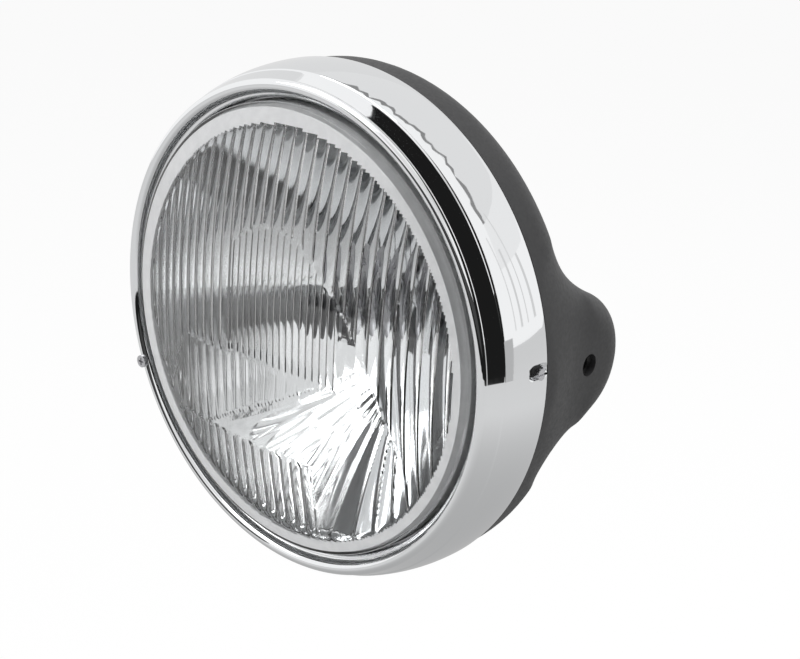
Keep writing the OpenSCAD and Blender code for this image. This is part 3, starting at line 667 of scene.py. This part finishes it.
def makeBulbs(s):
    r, tip, foot = s["radius"], bulbSeat - s["length"], bulbSeat - s["foot"]
    bm = turnedForm([(r - s["wall"], foot), (r, foot)] + [(r, foot - 8)]
                    + arcPoints(0, tip + r, r, 0, -90, 16) + arcPoints(0, tip + r, r - s["wall"], -90, 0, 16), 64)
    makePiece("mainBulb", bm, finish["bulbGlass"], "light_unit", ["bulb_glass"], sharp=40)
    coat = r + s["paint"]
    bm = turnedForm([(r - s["wall"] * 0.5, tip + s["tipLength"]), (coat, tip + s["tipLength"] - 0.4)]
                    + arcPoints(0, tip + r, coat, 0, -90, 16)
                    + arcPoints(0, tip + r, r - s["wall"] * 0.5, -90, 0, 16), 64)
    makePiece("bulbTipPaint", bm, finish["bulbTip"], "light_unit")
    pr = s["pilotRadius"]
    pilotAt = mirrorDepth(mirrorSizes["pilotDrop"])
    top, base = pilotAt - s["pilotReach"], pilotAt + s["pilotFoot"]
    bm = turnedForm([(pr - s["pilotWall"], base), (pr, base)] + arcPoints(0, top + pr, pr, 0, -90, 12)
                    + arcPoints(0, top + pr, pr - s["pilotWall"], -90, 0, 12), 48)
    bmesh.ops.translate(bm, verts=bm.verts, vec=(0, 0, -mirrorSizes["pilotDrop"] * mm))
    makePiece("pilotBulbGlass", bm, finish["bulbGlass"], "light_unit", ["pilot_bulb"], sharp=40)


makeBulbs(bulbSizes)
print("bulbs blown")


# aim adjuster's spring, wound as a fixed helix in the box of the model's spring; it does not flatten as the light
# unit swings

springSizes = dict(wire=0.25, turns=4, stepsPerTurn=36, squeeze=3.2)


def makeSpring(s):
    low, high = (Vector(c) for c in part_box("adjuster_spring"))
    middle, wire = (low + high) / 2, s["wire"] * mm
    reach, length = (high.x - low.x) / 2 - wire, high.y - low.y - 2 * wire
    steps = s["turns"] * s["stepsPerTurn"]
    bm = bmesh.new()
    start = Vector((middle.x + reach, low.y + wire, middle.z))
    bmesh.ops.create_circle(bm, segments=10, radius=wire, matrix=Matrix.Translation(start), cap_ends=True)
    bmesh.ops.spin(bm, geom=bm.verts[:] + bm.edges[:] + bm.faces[:], cent=middle, axis=(0, 1, 0),
                   angle=2 * pi * s["turns"], dvec=(0, length / steps, 0), steps=steps, use_merge=False)
    bmesh.ops.remove_doubles(bm, verts=bm.verts, dist=1e-6)
    spring = makePiece("aimSpring", bm, finish["zinc"], "housing", ["adjuster_spring"], sharp=50)
    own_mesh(spring)


makeSpring(springSizes)
print("spring wound")


# studio: pale floor, soft light, and screens that only gloss and glass see

studio = dict(floorDrop=0.34, ambient=0.38, floorInGloss=0.7, floorShadowGrey=0.42, floorGlow=0.93, ballRadius=1.5,
              backEdge=0.21, ridgeAt=0.35, poles=((112, 0.7, 36), (117, 1.6, 30), (123, 0.8, 42), (129, 2.0, 24)))


def makeFloor(s):
    bm = bmesh.new()
    bmesh.ops.create_grid(bm, x_segments=8, y_segments=8, size=6)
    bmesh.ops.translate(bm, verts=bm.verts, vec=(0, 0, -s["floorDrop"]))
    mat = bpy.data.materials.new("paleFloor")
    mat.use_nodes = True
    tree = mat.node_tree
    tree.nodes.clear()
    out = addNode(tree, "ShaderNodeOutputMaterial")
    paint = addNode(tree, "ShaderNodeBsdfDiffuse")
    paint.inputs["Color"].default_value = (0.9, 0.9, 0.9, 1)
    glow = addNode(tree, "ShaderNodeEmission")
    path = addNode(tree, "ShaderNodeLightPath")
    coord = addNode(tree, "ShaderNodeTexCoord")
    away = addNode(tree, "ShaderNodeVectorMath", operation="LENGTH")
    tree.links.new(coord.outputs["Object"], away.inputs[0])
    shade = addNode(tree, "ShaderNodeMapRange", interpolation_type="SMOOTHSTEP")      # painted shadow: the floor as gloss and glass see it is greyer under the lamp
    shade.inputs["From Min"].default_value = s["floorDrop"]
    shade.inputs["From Max"].default_value = s["floorDrop"] * 2.6
    shade.inputs["To Min"].default_value = s["floorShadowGrey"]
    shade.inputs["To Max"].default_value = s["floorInGloss"]
    tree.links.new(away.outputs["Value"], shade.inputs["Value"])
    level = addNode(tree, "ShaderNodeMapRange")
    level.inputs["To Max"].default_value = 1.0
    tree.links.new(shade.outputs["Result"], level.inputs["To Min"])
    tree.links.new(path.outputs["Is Camera Ray"], level.inputs["Value"])
    tree.links.new(level.outputs["Result"], glow.inputs["Strength"])
    blend = addNode(tree, "ShaderNodeMixShader")
    most = addNode(tree, "ShaderNodeMath", operation="MULTIPLY")
    most.inputs[1].default_value = s["floorGlow"]
    tree.links.new(seenDirectly(tree, path), most.inputs[0])
    tree.links.new(most.outputs[0], blend.inputs["Fac"])
    tree.links.new(paint.outputs[0], blend.inputs[1])
    tree.links.new(glow.outputs[0], blend.inputs[2])
    tree.links.new(blend.outputs[0], out.inputs["Surface"])
    floorPiece = looseObject("floor", bm)
    floorPiece.data.materials.append(mat)


def seenDirectly(tree, path):
    first = addNode(tree, "ShaderNodeMath", operation="MAXIMUM")
    second = addNode(tree, "ShaderNodeMath", operation="MAXIMUM")
    tree.links.new(path.outputs["Is Camera Ray"], first.inputs[0])
    tree.links.new(path.outputs["Is Glossy Ray"], first.inputs[1])
    tree.links.new(first.outputs[0], second.inputs[0])
    tree.links.new(path.outputs["Is Transmission Ray"], second.inputs[1])
    return second.outputs[0]


def makeWorld(s):
    world = bpy.data.worlds.new("studioAir")
    bpy.context.scene.world = world
    world.use_nodes = True
    tree = world.node_tree
    back = tree.nodes["Background"]
    back.inputs["Color"].default_value = (1, 1, 1, 1)
    path = addNode(tree, "ShaderNodeLightPath")
    level = addNode(tree, "ShaderNodeMapRange")
    level.inputs["To Min"].default_value = s["ambient"]
    level.inputs["To Max"].default_value = 1.0
    tree.links.new(seenDirectly(tree, path), level.inputs["Value"])
    tree.links.new(level.outputs["Result"], back.inputs["Strength"])


def fromAzimuth(angle):      # keeps what lies to the right of an azimuth, seen from above the lamp
    return Vector((-cos(radians(angle)), -sin(radians(angle)), 0)), 0


def toAzimuth(angle):
    return -fromAzimuth(angle)[0], 0


def above(height):
    return Vector((0, 0, -1)), -sin(radians(height))


def below(height):
    return Vector((0, 0, 1)), sin(radians(height))


def behind(share):
    return Vector((0, -1, 0)), -share


def before(share):
    return Vector((0, 1, 0)), share


def makeScreen(name, shade, cuts, scale=1.0, jagged=0.0):      # a piece of a ball round the lamp, cut by planes
    size = studio["ballRadius"] * scale
    bm = bmesh.new()
    bmesh.ops.create_uvsphere(bm, u_segments=96, v_segments=48, radius=size)
    for normal, offset in cuts:
        bmesh.ops.bisect_plane(bm, geom=bm.verts[:] + bm.edges[:] + bm.faces[:], plane_co=normal * offset * size,
                               plane_no=normal, clear_outer=True)
    if jagged:
        for vert in bm.verts:
            turn = atan2(vert.co.x, vert.co.z) * 9
            saw = 2 * (turn - floor(turn)) - 1 + sin(turn * 2.7) + 0.6 * sin(turn * 7.3)
            vert.co.y += jagged * size * saw
    mat = bpy.data.materials.new(name)
    mat.use_nodes = True
    tree = mat.node_tree
    tree.nodes.clear()
    out = addNode(tree, "ShaderNodeOutputMaterial")
    glow = addNode(tree, "ShaderNodeEmission", Strength=1.0)
    glow.inputs["Color"].default_value = (shade, shade, shade, 1)
    tree.links.new(glow.outputs[0], out.inputs["Surface"])
    screen = looseObject(name, bm)
    screen.data.materials.append(mat)
    screen.visible_camera = screen.visible_diffuse = screen.visible_shadow = False


def makeLamp(name, place, aim, size, power):
    data = bpy.data.lights.new(name, "AREA")
    data.shape = "RECTANGLE"
    data.size, data.size_y = size
    data.energy = power
    lamp = bpy.data.objects.new(name, data)
    lamp.location = place
    lamp.rotation_euler = (Vector(aim) - Vector(place)).to_track_quat("-Z", "Y").to_euler()
    bpy.context.scene.collection.objects.link(lamp)
    return lamp


makeFloor(studio)
makeWorld(studio)
backEdge, ridgeAt = studio["backEdge"], studio["ridgeAt"]
makeScreen("darkLow", 0.012, [fromAzimuth(-35), before(backEdge), above(-27), below(-6)])
makeScreen("duskLow", 0.06, [fromAzimuth(-35), toAzimuth(46), above(-6), below(12)])
makeScreen("darkRight", 0.012, [fromAzimuth(46), before(backEdge), above(-6)])
makeScreen("greyFront", 0.8, [fromAzimuth(-12), toAzimuth(24), above(12), below(54)])
makeScreen("greyFrontTop", 0.7, [fromAzimuth(24), toAzimuth(46), above(34), below(54)])
makeScreen("paleBack", 0.82, [behind(ridgeAt), above(40)], 1.02, 0.004)
makeScreen("paleBackLow", 0.91, [behind(ridgeAt), above(24), below(40)], 1.02)
makeScreen("paleLeft", 0.78, [fromAzimuth(-178), toAzimuth(-108), above(-4), below(40)], 1.01)
makeScreen("ridgeLine", 0.28, [behind(ridgeAt - 0.012), before(ridgeAt + 0.02), fromAzimuth(60), above(40)],
           jagged=0.017)
makeScreen("sideMark", 0.5, [fromAzimuth(101), toAzimuth(109), above(-14), below(1)], 0.99)
for poleAt, poleWide, poleTop in studio["poles"]:
    makeScreen("pole%d" % poleAt, 0.7,
               [fromAzimuth(poleAt), toAzimuth(poleAt + poleWide), above(3), below(poleTop)], 0.98)
makeLamp("keyBox", (-0.7, -0.9, 1.1), (0, 0, 0), (0.9, 0.9), 7)
topBox = makeLamp("topBox", (0.3, 0.35, 1.3), (0, 0, 0), (1.1, 1.1), 20)
sideBox = makeLamp("sideBox", (1.2, 0.1, 0.5), (0, 0, 0), (0.8, 0.8), 2)
topBox.visible_glossy = sideBox.visible_glossy = False
print("studio lit")


# camera at the photo's angle

view = dict(azimuth=41.69, elevation=17.71, lampTurn=3.0, distance=0.485, right=0.04143, up=0.001715, lens=58.68)


def makeCamera(v):
    az, el = radians(v["azimuth"]), radians(v["elevation"])
    right = Vector((cos(az), sin(az), 0))
    back = Vector((sin(az) * cos(el), -cos(az) * cos(el), sin(el)))
    up = back.cross(right)
    turn = Matrix.Rotation(radians(-v["lampTurn"]), 3, "Y")
    place = right * v["right"] + up * v["up"] + back * v["distance"]
    right, up, back, place = turn @ right, turn @ up, turn @ back, turn @ place
    data = bpy.data.cameras.new("photoCamera")
    data.lens = v["lens"]
    data.sensor_width = 36
    data.clip_start, data.clip_end = 0.01, 20
    camera = bpy.data.objects.new("photoCamera", data)
    axes = Matrix((right, up, back)).transposed().to_4x4()
    camera.matrix_world = Matrix.Translation(place + Vector((0, beadPlane * mm, 0))) @ axes
    bpy.context.scene.collection.objects.link(camera)
    bpy.context.scene.camera = camera
    print("camera at", [round(c, 4) for c in camera.matrix_world.translation])


makeCamera(view)
bpy.context.scene.view_settings.view_transform = "Standard"
